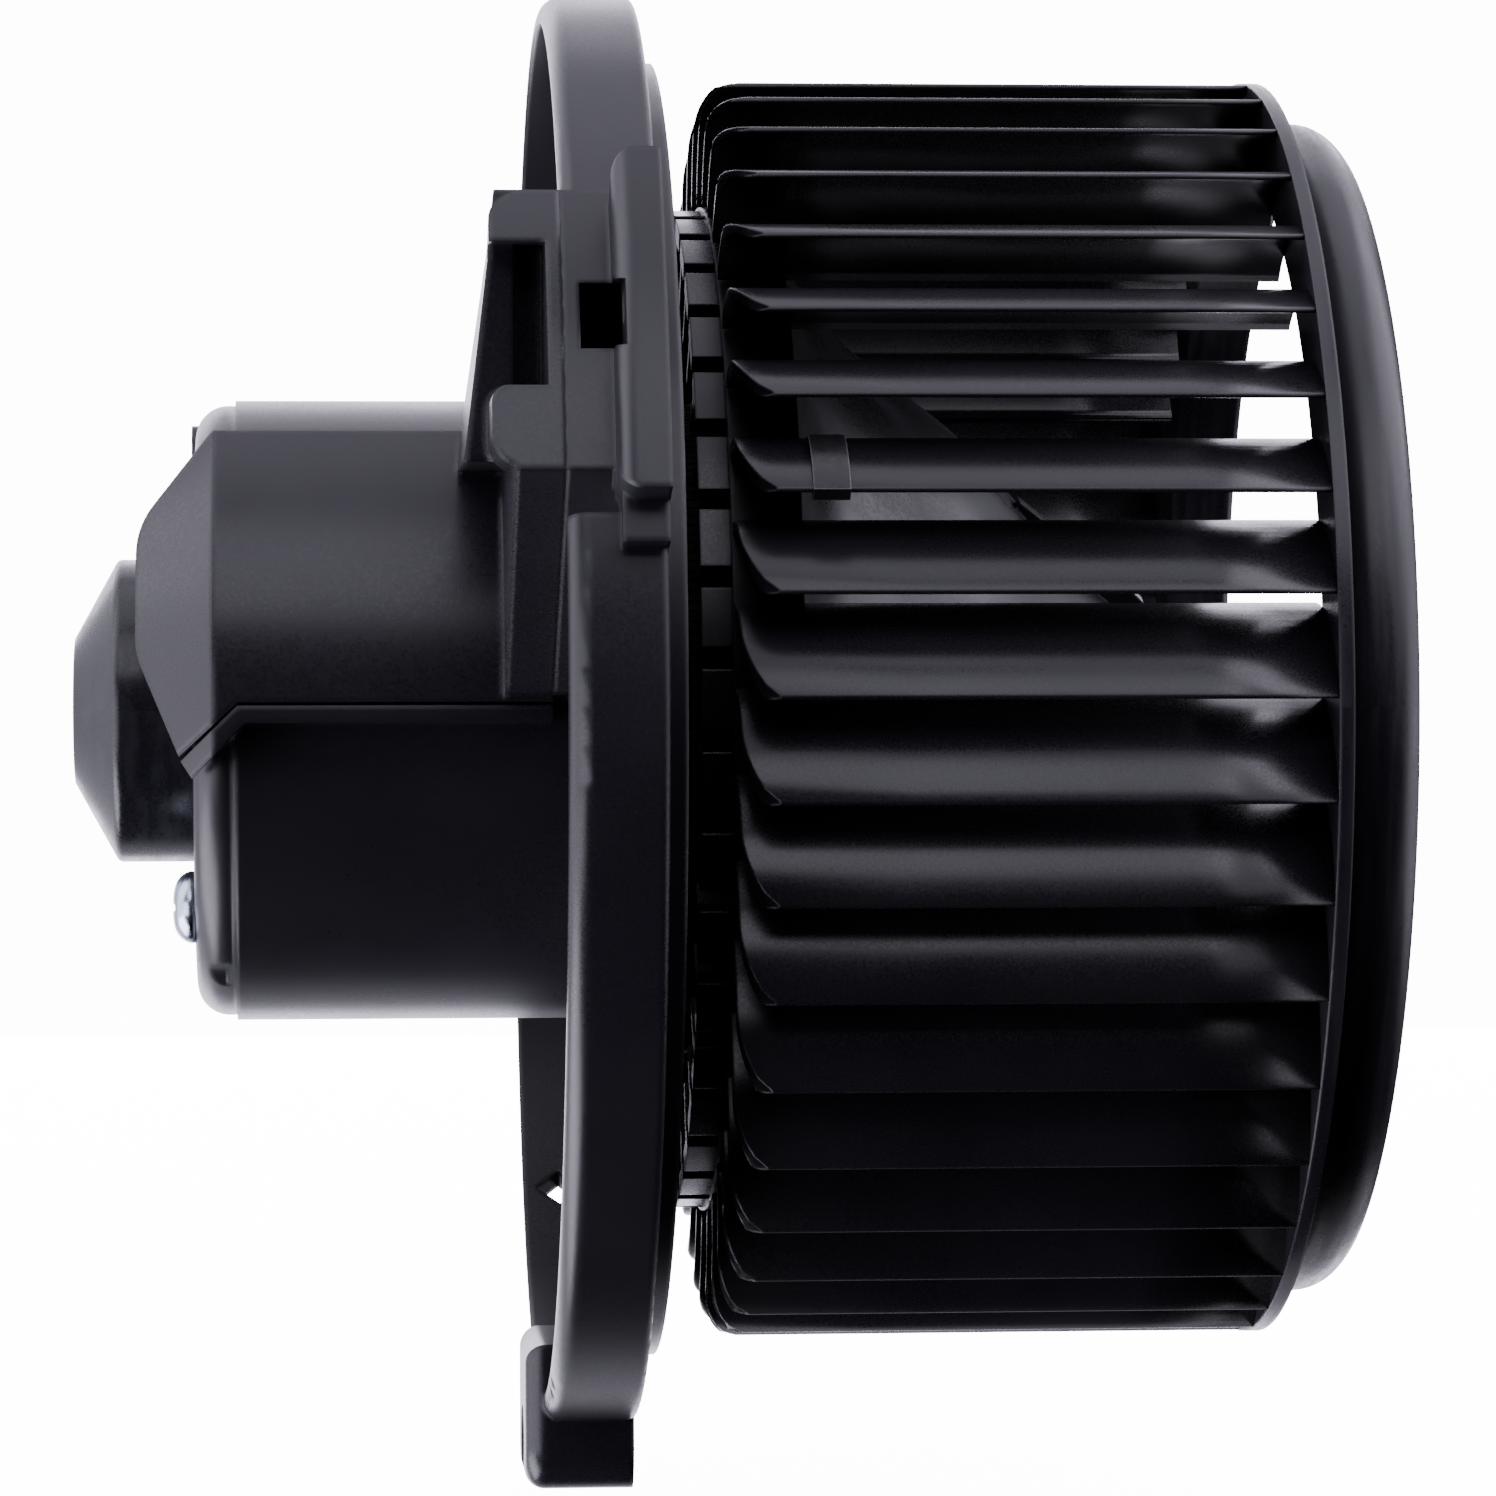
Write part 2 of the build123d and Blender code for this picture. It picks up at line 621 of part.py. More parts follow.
def commutator_bars():
    """Copper bars, one for each slot, each with a riser hook."""
    step = 360 / SLOT_COUNT
    gap = 3.0
    bars = []
    for i in range(SLOT_COUNT):
        low = COMMUTATOR_REAR
        high = COMMUTATOR_REAR + COMMUTATOR_LENGTH
        start = step * i + gap / 2
        end = step * (i + 1) - gap / 2
        bar = sector(low, high, COMMUTATOR_RADIUS - 2.0, COMMUTATOR_RADIUS, start, end)
        bar += sector(high - 1.4, high, COMMUTATOR_RADIUS - 0.5, COMMUTATOR_RADIUS + 1.4, start + 9, end - 9)
        bars.append(bar)
    return Compound(children=[b.solids()[0] for b in bars])


def washers():
    """Thrust washers beside the two bearings."""
    near_rear = ring(-46.9, -46.1, SHAFT_RADIUS, 6.4)
    near_front = ring(8.4, 9.2, SHAFT_RADIUS, 6.4)
    return Compound(children=[near_rear.solids()[0], near_front.solids()[0]])


# ---------------------------------------------------------------- wheel


def hub_profile():
    """Half section of the hub: a bowed cone, a flat nose and the short ring that carries the blades."""
    nose_inner = HUB_NOSE_X - 2.6
    ring_inner = HUB_RING_RADIUS - HUB_RING_WALL
    outer = Spline(
        (HUB_BASE_X, HUB_RING_RADIUS), (27.6, 42.2), (40.3, 32.0), (49.3, 21.8), (HUB_NOSE_X, HUB_NOSE_RADIUS)
    )
    nose = Polyline(
        (HUB_NOSE_X, HUB_NOSE_RADIUS), (HUB_NOSE_X, HUB_BORE), (nose_inner, HUB_BORE), (nose_inner, 9.0)
    )
    inner = Spline(
        (nose_inner, 9.0), (47.0, 20.6), (38.1, 30.4), (25.6, 40.6), (HUB_BASE_X - 1.2, ring_inner)
    )
    rear = Polyline(
        (HUB_BASE_X - 1.2, ring_inner),
        (BLADE_REAR, ring_inner),
        (BLADE_REAR, HUB_RING_RADIUS),
        (HUB_BASE_X, HUB_RING_RADIUS),
    )
    return make_face(outer.edges() + nose.edges() + inner.edges() + rear.edges())


def wheel_hub():
    """Cone-shaped hub with its rear ring, inner boss and nose ribs."""
    body = revolve(hub_profile(), Axis.X)
    body += ring(HUB_NOSE_X - 20, HUB_NOSE_X - 1, HUB_BORE, HUB_BORE + 3)
    crest = [(44, 20), (46, 27), (HUB_NOSE_X - 1.5, 15.5), (HUB_NOSE_X, 14), (HUB_NOSE_X, 9)]
    rib = extrude(make_face(Polyline(*crest, close=True)), 0.9, both=True)
    for i in range(NOSE_RIB_COUNT):
        body += Rot((i + 0.5) * 360 / NOSE_RIB_COUNT, 0, 0) * rib
    return body


def hub_fins():
    """Wide teeth that stand proud of the hub's rear ring, one for each blade, each with a thin fin inside."""
    ring_inner = HUB_RING_RADIUS - HUB_RING_WALL
    outline = [(TOOTH_REAR, 50), (TOOTH_REAR, 58), (15.6, 58), (19.4, 51), (BLADE_REAR, 50)]
    fin = extrude(make_face(Polyline(*outline, close=True)), BLADE_THICK / 2, both=True)
    tooth = Pos(0, 0, -BLADE_RISE) * fin
    tooth += sector(TOOTH_REAR, BLADE_REAR, ring_inner - 0.9, HUB_RING_RADIUS - 0.4, -12, TOOTH_SPAN - 12)
    tooth -= revolve(hub_profile(), Axis.X)
    pitch = 360 / BLADE_COUNT
    teeth = [Rot(BLADE_PHASE + pitch * i, 0, 0) * tooth for i in range(BLADE_COUNT)]
    return Compound(children=[t.solids()[0] for t in teeth])


def blade(thick, x_low, x_high, overhang=0.0):
    """One forward-curved blade, radial at its root, whose tip leads in the direction of rotation."""
    lean = radians(BLADE_TIP_LEAN)
    tip = lean + overhang
    half = thick / 2
    root_y = WHEEL_RADIUS - 0.35 - BLADE_CURVE * sin(lean)

    def point(turn, offset):
        """A point on the curved part, at a turn from the root and an offset from the mid line."""
        r = BLADE_CURVE + offset
        return (root_y + r * sin(turn), BLADE_CURVE - BLADE_RISE - r * cos(turn))

    inner = HUB_RING_RADIUS - 3.0
    thin = 0.6 * half
    back = ThreePointArc(point(0, half), point(lean / 2, half), point(tip, thin))
    front = ThreePointArc(point(tip, -thin), point(lean / 2, -half), point(0, -half))
    end = Line(point(tip, thin), point(tip, -thin))
    root = Polyline(point(0, -half), (inner, half - BLADE_RISE), (inner, -half - BLADE_RISE), point(0, half))
    section = make_face(back.edges() + end.edges() + front.edges() + root.edges())
    body = Pos(x_low, 0, 0) * extrude(Plane.YZ * section, x_high - x_low)
    return body - rod(x_low - 1, x_high + 1, HUB_RING_RADIUS)


def wheel_blades():
    """All the blades, with rounded rear corners, each its own solid."""
    body = blade(BLADE_THICK, BLADE_REAR, BLADE_FRONT)
    corner = [
        (BLADE_REAR - 1, WHEEL_RADIUS - BLADE_CORNER),
        (BLADE_REAR - 1, WHEEL_RADIUS + 2),
        (BLADE_REAR + BLADE_CORNER, WHEEL_RADIUS + 2),
        (BLADE_REAR + BLADE_CORNER, WHEEL_RADIUS),
        (BLADE_REAR + 0.6 * BLADE_CORNER, WHEEL_RADIUS - 0.06 * BLADE_CORNER),
        (BLADE_REAR, WHEEL_RADIUS - BLADE_CORNER),
    ]
    body -= turned(corner)
    pitch = 360 / BLADE_COUNT
    blades = [Rot(BLADE_PHASE + pitch * i, 0, 0) * body for i in range(BLADE_COUNT)]
    return Compound(children=[b.solids()[0] for b in blades])


def wheel_ring():
    """Welded front ring: a thin band over the blade ends, a groove and a rolled inlet lip."""
    inner = LIP_RADIUS - LIP_WALL
    lip_start = (BAND_FRONT + 0.8, LIP_RADIUS - 1.7)
    lip_end = (LIP_FRONT, LIP_RADIUS - 2.2)
    crown = ThreePointArc(lip_start, (BAND_FRONT + 4.3, LIP_RADIUS), lip_end)
    sides = Polyline(
        lip_end,
        (LIP_FRONT, inner + 0.6),
        (LIP_FRONT - 0.6, inner),
        (BAND_FRONT, inner - 2.0),
        (BLADE_FRONT, inner - 2.0),
        (BLADE_FRONT, WHEEL_RADIUS),
        (BAND_FRONT, WHEEL_RADIUS),
        (BAND_FRONT, LIP_RADIUS - 2.4),
        (BAND_FRONT + 0.8, LIP_RADIUS - 2.4),
        lip_start,
    )
    return revolve(make_face(crown.edges() + sides.edges()), Axis.X)


def hub_insert():
    """Metal bush pressed into the hub, sliding on the shaft."""
    return ring(HUB_NOSE_X - 19, HUB_NOSE_X - 3, SHAFT_RADIUS, HUB_BORE)


def hub_clip():
    """Push-on spring clip that locks the hub to the shaft."""
    return ring(HUB_NOSE_X - 3, HUB_NOSE_X - 2.4, SHAFT_RADIUS, HUB_BORE)


def balance_clip():
    """Folded steel weight pushed over one blade tip."""
    low = CLIP_X
    high = CLIP_X + CLIP_WIDTH
    body = blade(BLADE_THICK + 2 * CLIP_SHEET, low, high, 0.05) & block((low, 60, -CLIP_REACH), (high, 80, 2))
    body -= blade(BLADE_THICK, low - 1, high + 1)
    return Rot(BLADE_PHASE - CLIP_BLADE * 360 / BLADE_COUNT, 0, 0) * body


FRONT_POCKET_END = CAN_FRONT + 6.0 - CAN_WALL

PARTS = {
    "flange_housing": flange_housing,
    "duct_cover": duct_cover,
    "rear_cap": rear_cap,
    "rear_screws": rear_screws,
    "front_screws": front_screws,
    "motor_can": motor_can,
    "motor_end_plate": end_plate,
    "isolator_ring": isolator,
    "magnets": magnets,
    "magnet_springs": magnet_springs,
    "front_bearing": lambda: bearing(FRONT_POCKET_END - BEARING_LENGTH + 2.0, FRONT_POCKET_END),
    "rear_bearing": lambda: bearing(SHAFT_REAR + 1.0, SHAFT_REAR + 1.0 + BEARING_LENGTH),
    "brush_card": brush_card,
    "brush_boxes": brush_boxes,
    "brush_top": lambda: brush(0),
    "brush_bottom": lambda: brush(180),
    "brush_spring_top": lambda: brush_spring(0),
    "brush_spring_bottom": lambda: brush_spring(180),
    "choke": choke,
    "connector_socket": connector_socket,
    "terminals": terminals,
    "shaft": shaft,
    "armature_core": armature_core,
    "armature_windings": windings,
    "commutator_core": commutator_core,
    "commutator_bars": commutator_bars,
    "thrust_washers": washers,
    "wheel_hub": wheel_hub,
    "hub_fins": hub_fins,
    "wheel_blades": wheel_blades,
    "wheel_ring": wheel_ring,
    "hub_insert": hub_insert,
    "hub_clip": hub_clip,
    "balance_clip": balance_clip,
}

for name, make in PARTS.items():
    save(make(), name)
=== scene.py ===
import json
from math import cos, pi, radians, sin, sqrt

import bpy
from mathutils import Matrix, Vector


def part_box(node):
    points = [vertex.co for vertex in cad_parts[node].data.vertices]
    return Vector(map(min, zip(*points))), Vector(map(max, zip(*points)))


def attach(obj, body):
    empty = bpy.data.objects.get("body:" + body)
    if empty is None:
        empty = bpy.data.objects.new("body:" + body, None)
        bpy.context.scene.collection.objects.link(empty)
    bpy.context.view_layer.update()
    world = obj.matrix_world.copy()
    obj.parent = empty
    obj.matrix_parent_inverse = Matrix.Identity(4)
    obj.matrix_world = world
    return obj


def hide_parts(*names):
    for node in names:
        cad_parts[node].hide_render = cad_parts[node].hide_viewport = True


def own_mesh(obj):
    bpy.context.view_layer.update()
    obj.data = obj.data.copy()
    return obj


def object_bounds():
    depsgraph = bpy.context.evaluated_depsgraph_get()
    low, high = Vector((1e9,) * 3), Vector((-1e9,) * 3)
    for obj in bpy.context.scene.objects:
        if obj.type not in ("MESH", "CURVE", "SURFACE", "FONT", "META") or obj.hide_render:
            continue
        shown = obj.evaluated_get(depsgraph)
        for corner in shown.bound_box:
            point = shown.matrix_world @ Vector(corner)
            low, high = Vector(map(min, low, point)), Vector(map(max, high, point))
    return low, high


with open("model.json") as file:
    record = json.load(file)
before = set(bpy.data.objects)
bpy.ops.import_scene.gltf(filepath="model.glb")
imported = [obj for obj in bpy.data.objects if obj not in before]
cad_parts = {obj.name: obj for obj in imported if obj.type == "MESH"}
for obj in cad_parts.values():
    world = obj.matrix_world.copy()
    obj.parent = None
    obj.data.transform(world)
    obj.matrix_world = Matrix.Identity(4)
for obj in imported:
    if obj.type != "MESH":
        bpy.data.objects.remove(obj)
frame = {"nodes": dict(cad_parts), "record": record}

# A blower motor with its squirrel-cage wheel. Metres, shaft on X, wheel towards +X, +Z up.
# Angles are taken about +X, from +Y towards +Z, as in the CAD part.

CAD_LOW, CAD_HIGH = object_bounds()
MM = 0.001

# Camera, at the place that the picture was taken from
CAMERA_PLACE = (-0.0385, -0.7018, 0.0)
CAMERA_YAW = 4.322
CAMERA_PITCH = -0.381
CAMERA_ROLL = -0.163
CAMERA_LENS = 140.93
SENSOR_WIDTH = 36.0

# Studio. White is the strength of the surround and the floor, which only the camera sees.
WHITE = 14.0
LIGHT_COLOUR = (1.0, 0.965, 1.13)
FLOOR_GAP = 1.5 * MM
FLOOR_REACH = 8.0
FLOOR_COLOUR = (0.8, 0.8, 0.8, 1.0)
FLOOR_ROUGHNESS = 0.9
PURE_WHITE = (1.0, 1.0, 1.0, 1.0)
# Each soft panel: direction from the object, distance, width, height, power in watts
PANELS = {
    "behind": ((0.0, 1.0, 0.0), 1.0, 1.0, 1.2, 16.5),
    "behind_left": ((-0.8, 0.7, 0.0), 1.0, 0.8, 1.2, 3.0),
    "behind_high": ((0.0, 0.75, 0.7), 1.0, 1.6, 0.6, 5.0),
    "behind_low": ((0.0, 0.75, -0.7), 1.0, 1.6, 0.6, 2.3),
    "left": ((-1.0, 0.0, 0.0), 0.9, 0.7, 0.7, 3.5),
    "left_high": ((-0.8, 0.0, 0.7), 0.9, 0.7, 0.7, 4.0),
    "left_low": ((-0.8, 0.0, -0.7), 0.9, 0.7, 0.7, 11.0),
    "right": ((1.0, 0.0, 0.0), 0.9, 0.7, 0.7, 3.2),
    "right_high": ((0.8, 0.0, 0.7), 0.9, 0.9, 0.7, 6.5),
    "above": ((0.0, 0.0, 1.0), 0.9, 0.8, 0.8, 3.0),
    "front_left": ((-0.85, -0.7, -0.1), 1.0, 0.6, 0.6, 4.0),
    "front_right": ((0.8, -0.7, 0.5), 1.0, 0.6, 0.6, 1.2),
    "front_high": ((0.0, -0.75, 0.7), 1.0, 1.4, 0.6, 5.5),
}

# Wheel blades
BLADE_COUNT = 41
BLADE_PHASE = 179.0
BLADE_THICK = 1.1 * MM
BLADE_CURVE = 16.0 * MM
BLADE_LEAN = radians(68.0)
BLADE_RISE = BLADE_CURVE * (1 - cos(BLADE_LEAN))
BLADE_TAPER = 0.35
BLADE_CORNER = 5.0 * MM
CORNER_SHARE = 0.85
BLADE_DEPTH = 15.0 * MM
TIP_GAP = 0.35 * MM
TIP_SHARE = 0.4
EDGE_ROUND = 0.22 * MM

# Brush springs
SPRING_WIRE = 0.3 * MM
SPRING_TURNS = 6
SPRING_CLOSED = 0.10

# Rear screws
REAR_HEAD_RADIUS = 4.2 * MM
REAR_HEAD_HEIGHT = 2.6 * MM
REAR_SHANK_RADIUS = 1.6 * MM
NECK_RADIUS = REAR_SHANK_RADIUS + 0.2 * MM
NECK_LENGTH = 0.25 * MM
RIM_SHARE = 0.992
RECESS_ARM = 0.46 * MM
RECESS_DEPTH = 1.5 * MM
RECESS_WALL = 0.16 * MM
RECESS_REACH = 0.60
RECESS_RAMP = 0.22
DOME_POWER = 3.2
DOME_SHARE = 0.985


# ---------------------------------------------------------------- materials


class Finish:
    """A Principled material whose colour, roughness and relief are built up in layers of nodes."""

    def __init__(self, name, colour, roughness, metallic=0.0, specular=0.5, round_edges=0.0):
        self.material = bpy.data.materials.new(name)
        self.material.use_nodes = True
        self.tree = self.material.node_tree
        self.shader = self.tree.nodes["Principled BSDF"]
        self.shader.inputs["Metallic"].default_value = metallic
        self.shader.inputs["Specular IOR Level"].default_value = specular
        self.colour = tuple(colour) + (1.0,)
        self.roughness = roughness
        self.normal = None
        self.place = self.tree.nodes.new("ShaderNodeTexCoord").outputs["Object"]
        if round_edges:
            bevel = self.tree.nodes.new("ShaderNodeBevel")
            bevel.samples = 4
            bevel.inputs["Radius"].default_value = round_edges
            self.normal = bevel.outputs["Normal"]

    def add(self, kind, **values):
        """A new node; a value that is a socket is linked, and any other is set."""
        node = self.tree.nodes.new(kind)
        for key, value in values.items():
            if hasattr(node, key) and key not in node.inputs:
                setattr(node, key, value)
                continue
            socket = node.inputs[int(key[1:])] if key[0] == "i" and key[1:].isdigit() else node.inputs[key]
            self.put(socket, value)
        return node

    def put(self, socket, value):
        """Link or set one input."""
        if isinstance(value, bpy.types.NodeSocket):
            self.tree.links.new(value, socket)
        else:
            socket.default_value = value

    def stretched(self, x, y, z):
        """The place on the object, with each axis scaled, so that a pattern runs along one of them."""
        return self.add("ShaderNodeVectorMath", operation="MULTIPLY", i0=self.place, i1=(x, y, z)).outputs[0]

    def around(self, turn_scale, radius_scale, length_scale):
        """Turn about the shaft, distance from it and place along it, as one vector."""
        parts = self.add("ShaderNodeSeparateXYZ", i0=self.place).outputs
        angle = self.math("ARCTAN2", parts["Z"], parts["Y"])
        squares = self.math("ADD", self.math("MULTIPLY", parts["Y"], parts["Y"]),
                            self.math("MULTIPLY", parts["Z"], parts["Z"]))
        radius = self.math("SQRT", squares, 0.0)
        return self.add(
            "ShaderNodeCombineXYZ",
            X=self.math("MULTIPLY", angle, turn_scale),
            Y=self.math("MULTIPLY", radius, radius_scale),
            Z=self.math("MULTIPLY", parts["X"], length_scale),
        ).outputs[0]

    def math(self, operation, a, b):
        """One sum on two values."""
        return self.add("ShaderNodeMath", operation=operation, i0=a, i1=b).outputs[0]

    def noise(self, scale, detail=3.0, place=None):
        """Soft cloudy pattern from 0 to 1."""
        vector = self.place if place is None else place
        return self.add("ShaderNodeTexNoise", Vector=vector, Scale=scale, Detail=detail).outputs["Fac"]

    def cells(self, scale):
        """Distance to the nearest of many scattered points."""
        return self.add("ShaderNodeTexVoronoi", Vector=self.place, Scale=scale).outputs["Distance"]

    def span(self, value, low, high, to_low=0.0, to_high=1.0):
        """Map the range low to high of a pattern to another range, and clamp it."""
        values = {"From Min": low, "From Max": high, "To Min": to_low, "To Max": to_high}
        return self.add("ShaderNodeMapRange", Value=value, **values).outputs[0]

    def worn_edges(self, radius):
        """1 along sharp edges and 0 on faces."""
        bevel = self.add("ShaderNodeBevel", samples=4, Radius=radius).outputs[0]
        flat = self.add("ShaderNodeNewGeometry").outputs["Normal"]
        same = self.add("ShaderNodeVectorMath", operation="DOT_PRODUCT", i0=bevel, i1=flat).outputs["Value"]
        return self.span(same, 0.995, 0.85)

    def tint(self, mask, colour, amount):
        """Mix another colour in where the mask is high."""
        mix = self.tree.nodes.new("ShaderNodeMix")
        mix.data_type = "RGBA"
        self.put(mix.inputs[0], self.math("MULTIPLY", mask, amount))
        self.put(mix.inputs[6], self.colour)
        self.put(mix.inputs[7], tuple(colour) + (1.0,))
        self.colour = mix.outputs[2]

    def vary(self, mask, amount):
        """Move the roughness up or down with a pattern."""
        self.roughness = self.math("ADD", self.roughness, self.span(mask, 0.3, 0.7, -amount, amount))

    def relief(self, height, depth, strength=1.0):
        """Raise the surface with a pattern, by a depth in metres."""
        values = {"Height": height, "Distance": depth, "Strength": strength}
        if self.normal is not None:
            values["Normal"] = self.normal
        self.normal = self.add("ShaderNodeBump", **values).outputs[0]

    def done(self):
        """Join the layers to the shader."""
        self.put(self.shader.inputs["Base Color"], self.colour)
        self.put(self.shader.inputs["Roughness"], self.roughness)
        if self.normal is not None:
            self.put(self.shader.inputs["Normal"], self.normal)
        return self.material


def moulded(name, colour, roughness, grain=2600.0, depth=0.005, soft=0.35, streaks=None):
    """Satin moulded plastic: spark-eroded grain, slow flow marks, handled sheen and rubbed edges."""
    f = Finish(name, colour, roughness, round_edges=soft * MM)
    pale = [2.4 * c + 0.002 for c in colour]
    f.tint(f.span(f.noise(38.0, 4.0), 0.42, 0.75), pale, 0.35)
    # Flow marks that run round or out from the shaft, on the turned shapes only
    if streaks:
        f.tint(f.span(f.noise(1.0, 5.0, f.around(*streaks)), 0.48, 0.70), pale, 0.55)
        f.vary(f.noise(1.0, 4.0, f.around(*streaks)), 0.07)
    f.tint(f.worn_edges(0.5 * MM), [3.0 * c + 0.004 for c in colour], 0.5)
    specks = f.span(f.cells(900.0), 0.10, 0.04)
    f.tint(f.math("MULTIPLY", specks, f.span(f.noise(60.0), 0.55, 0.65)), (0.05, 0.05, 0.05), 0.30)
    f.vary(f.noise(26.0, 5.0), 0.06)
    f.vary(f.noise(grain, 1.0), 0.04)
    f.relief(f.noise(22.0, 2.0), 0.12 * MM, 0.6)
    f.relief(f.noise(grain, 2.0), depth * MM)
    return f.done()


def metal(name, colour, roughness, dark, brush):
    """Machined or drawn metal: brush marks along one direction, stains and bright rubbed edges."""
    f = Finish(name, colour, roughness, metallic=1.0, round_edges=0.15 * MM)
    lines = f.noise(1.0, 4.0, brush(f))
    f.tint(f.span(f.noise(90.0, 4.0), 0.50, 0.72), dark, 0.6)
    f.tint(f.span(lines, 0.55, 0.75), dark, 0.3)
    f.tint(f.worn_edges(0.25 * MM), [min(1.0, 1.25 * c + 0.05) for c in colour], 0.7)
    f.vary(lines, 0.10)
    f.vary(f.noise(140.0, 3.0), 0.05)
    f.relief(lines, 0.004 * MM)
    return f.done()


def turned_lines(f):
    """Marks that run round the shaft."""
    return f.around(3.0, 3500.0, 3500.0)


def drawn_lines(f):
    """Marks that run along the shaft."""
    return f.stretched(120.0, 5200.0, 5200.0)


def ground_lines(f):
    """Marks square to the shaft, on stamped or ground pieces."""
    return f.stretched(6000.0, 300.0, 300.0)


def ribbed_rubber(name):
    """Matt rubber with bloom and a grainy skin."""
    f = Finish(name, (0.010, 0.010, 0.011), 0.62, specular=0.35)
    f.tint(f.span(f.noise(70.0, 5.0), 0.45, 0.70), (0.030, 0.030, 0.031), 0.5)
    f.vary(f.noise(300.0, 3.0), 0.10)
    f.relief(f.noise(3000.0, 2.0), 0.02 * MM)
    return f.done()


def zinc_plate(name):
    """Bright zinc with a blue passivate that shifts a little from place to place."""
    f = Finish(name, (0.62, 0.67, 0.74), 0.24, metallic=1.0, round_edges=0.12 * MM)
    f.tint(f.span(f.noise(260.0, 3.0), 0.42, 0.62), (0.44, 0.56, 0.76), 0.7)
    f.tint(f.span(f.noise(420.0, 4.0), 0.56, 0.72), (0.72, 0.70, 0.58), 0.4)
    f.vary(f.noise(700.0, 4.0), 0.09)
    f.relief(f.noise(2600.0, 3.0), 0.008 * MM)
    return f.done()


def ferrite(name):
    """Ground ferrite: dark grey with pores and fine grinding marks."""
    f = Finish(name, (0.055, 0.056, 0.060), 0.55, specular=0.6, round_edges=0.3 * MM)
    f.tint(f.span(f.cells(700.0), 0.12, 0.03), (0.015, 0.015, 0.016), 0.8)
    f.tint(f.span(f.noise(1.0, 3.0, ground_lines(f)), 0.5, 0.7), (0.09, 0.09, 0.095), 0.5)
    f.vary(f.noise(160.0, 4.0), 0.12)
    f.relief(f.cells(700.0), 0.03 * MM)
    return f.done()


def porous_bronze(name):
    """Sintered bronze, darkened by its oil, with open pores."""
    f = Finish(name, (0.46, 0.31, 0.16), 0.42, metallic=1.0, round_edges=0.2 * MM)
    pores = f.span(f.cells(3200.0), 0.30, 0.10)
    f.tint(pores, (0.10, 0.06, 0.03), 0.8)
    f.tint(f.span(f.noise(180.0, 4.0), 0.45, 0.65), (0.25, 0.15, 0.07), 0.6)
    f.vary(f.noise(240.0, 3.0), 0.12)
    f.relief(f.cells(3200.0), 0.03 * MM)
    return f.done()


def phenolic(name):
    """Brown paper-filled board with fibres and a machined edge."""
    f = Finish(name, (0.115, 0.060, 0.030), 0.48, round_edges=0.2 * MM)
    fibres = f.noise(1.0, 5.0, f.stretched(4000.0, 500.0, 160.0))
    f.tint(f.span(fibres, 0.45, 0.65), (0.20, 0.115, 0.055), 0.6)
    f.tint(f.span(f.noise(50.0, 4.0), 0.5, 0.7), (0.06, 0.03, 0.016), 0.5)
    f.vary(f.noise(400.0, 3.0), 0.10)
    f.relief(fibres, 0.03 * MM)
    return f.done()


def graphite(name):
    """Pressed carbon with smear marks, whose metallic sheen is painted as lighter streaks in the colour."""
    f = Finish(name, (0.022, 0.022, 0.024), 0.46, specular=0.7, round_edges=0.2 * MM)
    # Lighter streaks along the smear marks: a painted metallic sheen
    f.tint(f.span(f.noise(1.0, 4.0, f.stretched(3000.0, 3000.0, 400.0)), 0.5, 0.7), (0.075, 0.075, 0.08), 0.7)
    f.vary(f.noise(500.0, 4.0), 0.14)
    f.relief(f.noise(5000.0, 3.0), 0.02 * MM)
    return f.done()


def enamelled_copper(name):
    """Copper under amber enamel, strand beside strand."""
    f = Finish(name, (0.50, 0.19, 0.07), 0.28, metallic=1.0)
    f.tint(f.span(f.noise(1.0, 3.0, f.around(26.0, 900.0, 1500.0)), 0.42, 0.62), (0.26, 0.08, 0.03), 0.7)
    f.tint(f.span(f.noise(300.0, 3.0), 0.52, 0.68), (0.70, 0.34, 0.14), 0.5)
    f.vary(f.noise(800.0, 3.0), 0.10)
    f.relief(f.noise(1.0, 2.0, f.around(40.0, 1500.0, 2500.0)), 0.06 * MM)
    f.shader.inputs["Coat Weight"].default_value = 0.6
    f.shader.inputs["Coat Roughness"].default_value = 0.15
    return f.done()


def laminations(name):
    """Stacked sheet steel: a fine dark line at each joint, with blued patches."""
    f = Finish(name, (0.25, 0.255, 0.27), 0.42, metallic=1.0)
    along = f.add("ShaderNodeSeparateXYZ", i0=f.place).outputs["X"]
    sheets = f.math("PINGPONG", along, 0.25 * MM)
    f.tint(f.span(sheets, 0.06 * MM, 0.0), (0.03, 0.03, 0.035), 0.85)
    f.tint(f.span(f.noise(160.0, 4.0), 0.5, 0.7), (0.12, 0.14, 0.20), 0.6)
    f.vary(f.noise(500.0, 3.0), 0.12)
    f.relief(f.span(sheets, 0.0, 0.08 * MM), 0.04 * MM)
    return f.done()


def nylon(name):
    """Natural nylon, creamy, oil-stained near the shaft."""
    f = Finish(name, (0.60, 0.56, 0.46), 0.40, round_edges=0.1 * MM)
    f.tint(f.span(f.noise(500.0, 4.0), 0.5, 0.7), (0.34, 0.27, 0.16), 0.5)
    f.vary(f.noise(900.0, 3.0), 0.10)
    f.relief(f.noise(2500.0, 2.0), 0.01 * MM)
    return f.done()


def phosphated(name):
    """Black-phosphated spring steel: crystalline, bright where it was bent."""
    f = Finish(name, (0.008, 0.008, 0.009), 0.34, metallic=0.2, round_edges=0.12 * MM)
    f.tint(f.span(f.cells(2400.0), 0.10, 0.45), (0.02, 0.02, 0.022), 0.5)
    f.tint(f.worn_edges(0.3 * MM), (0.42, 0.42, 0.43), 0.35)
    f.vary(f.noise(900.0, 4.0), 0.10)
    f.relief(f.cells(2400.0), 0.012 * MM)
    return f.done()


